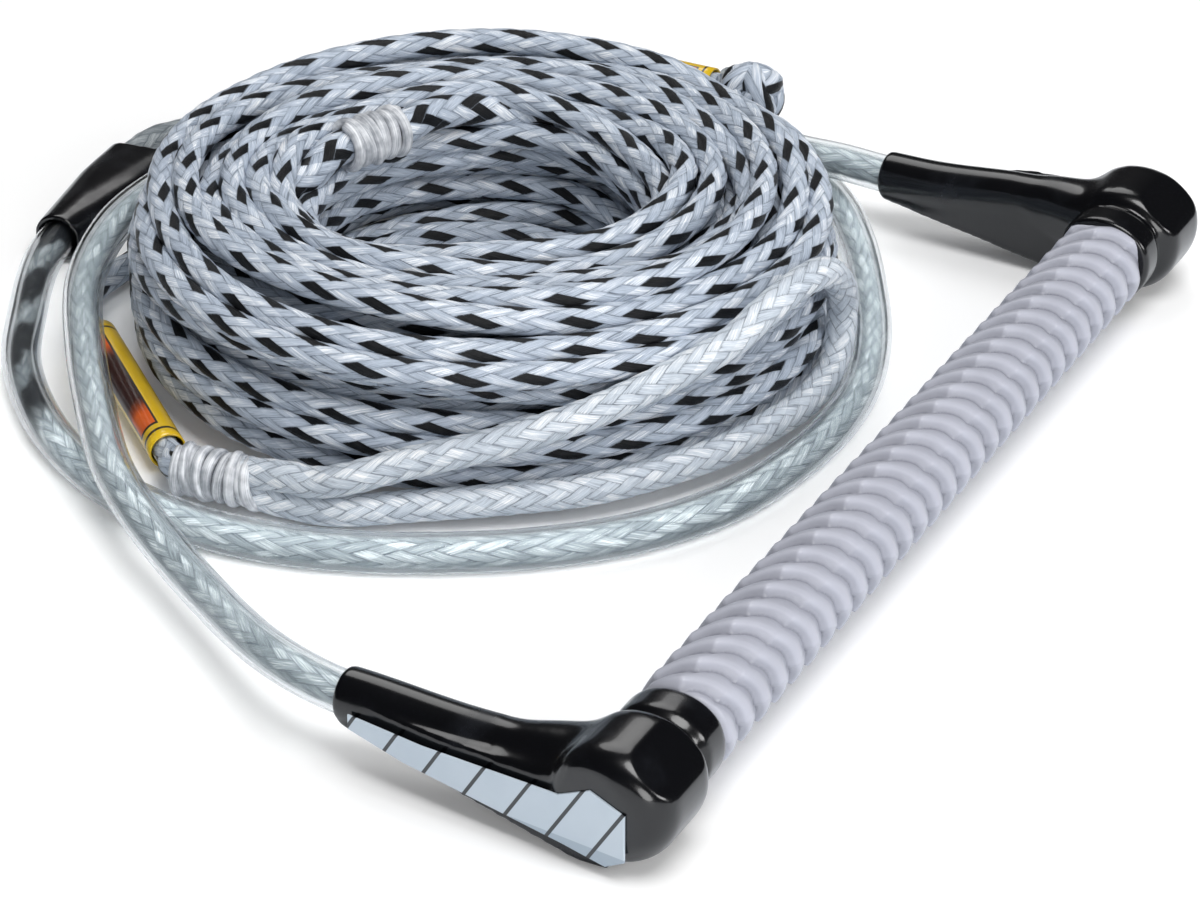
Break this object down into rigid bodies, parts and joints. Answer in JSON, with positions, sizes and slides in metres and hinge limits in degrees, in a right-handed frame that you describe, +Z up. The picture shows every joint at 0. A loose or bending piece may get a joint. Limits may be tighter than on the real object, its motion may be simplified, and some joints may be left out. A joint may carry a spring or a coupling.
{
  "type": "tow rope handle",
  "caption": "Water-ski tow handle: ridged rubber grip bar between black end caps, clear-tubed rope bridle, and a coiled braided main line with a tow loop.",
  "frame": {"origin": "on the floor under the middle of the handle's own box, without its cords", "axes": "+X along the grip bar, +Y from the bar towards the bridle and coil, +Z up"},
  "size_m": [0.4049, 0.3566, 0.0612],
  "materials": {
    "bar_metal": "satin",
    "float_foam": "closed-cell foam",
    "plug_plastic": "moulded",
    "grip_rubber": "soft matte",
    "cap_vinyl": "dipped gloss",
    "panel_print": "printed film",
    "rope_braid": "hollow braid with black flecks",
    "clear_tube": "clear flexible vinyl",
    "whipping_twine": "tight twine",
    "label_sleeve": "printed film"
  },
  "bodies": {
    "rope_set": {"near_flex_tube": "clear_tube", "near_flex_rope": "rope_braid", "far_flex_tube": "clear_tube", "far_flex_rope": "rope_braid", "near_leg_tube": "clear_tube", "near_leg_rope": "rope_braid", "far_leg_tube": "clear_tube", "far_leg_rope": "rope_braid", "yoke": "cap_vinyl", "trunk_tube": "clear_tube", "trunk_rope": "rope_braid", "line_knot": "rope_braid", "line_lead": "rope_braid", "coil_core": "rope_braid", "coil_turns": "rope_braid", "section_splice": "rope_braid", "section_whipping": "whipping_twine", "tow_lead": "rope_braid", "loop_splice": "rope_braid", "loop_whipping": "whipping_twine", "tow_loop": "rope_braid"},
    "handle": {"bar_tube": "bar_metal", "float_core": "float_foam", "bar_plug_near": "plug_plastic", "bar_plug_far": "plug_plastic", "grip": "grip_rubber", "end_cap_near": "cap_vinyl", "end_cap_far": "cap_vinyl", "cap_panel_near": "panel_print", "cap_panel_far": "panel_print", "stop_knot_near": "rope_braid", "stop_knot_far": "rope_braid", "rope_end_near": "rope_braid", "rope_end_far": "rope_braid"},
    "front_sleeve": {"front_label": "label_sleeve"},
    "back_sleeve": {"back_label": "label_sleeve"}
  },
  "joints": [
    {"name": "handle_swing", "type": "hinge", "parent": "rope_set", "child": "handle", "pos_m": [0, 0.0835, 0.0195], "axis": [-1, 0, 0], "range_deg": [0, 90], "deforming": ["near_flex_tube", "near_flex_rope", "far_flex_tube", "far_flex_rope"]},
    {"name": "front_label_slide", "type": "slide", "parent": "rope_set", "child": "front_sleeve", "axis": [0.66, 0.7513, 0], "range_m": [0, 0.012]},
    {"name": "back_label_slide", "type": "slide", "parent": "rope_set", "child": "back_sleeve", "axis": [0, 1, 0], "range_m": [0, 0.009]}
  ]
}
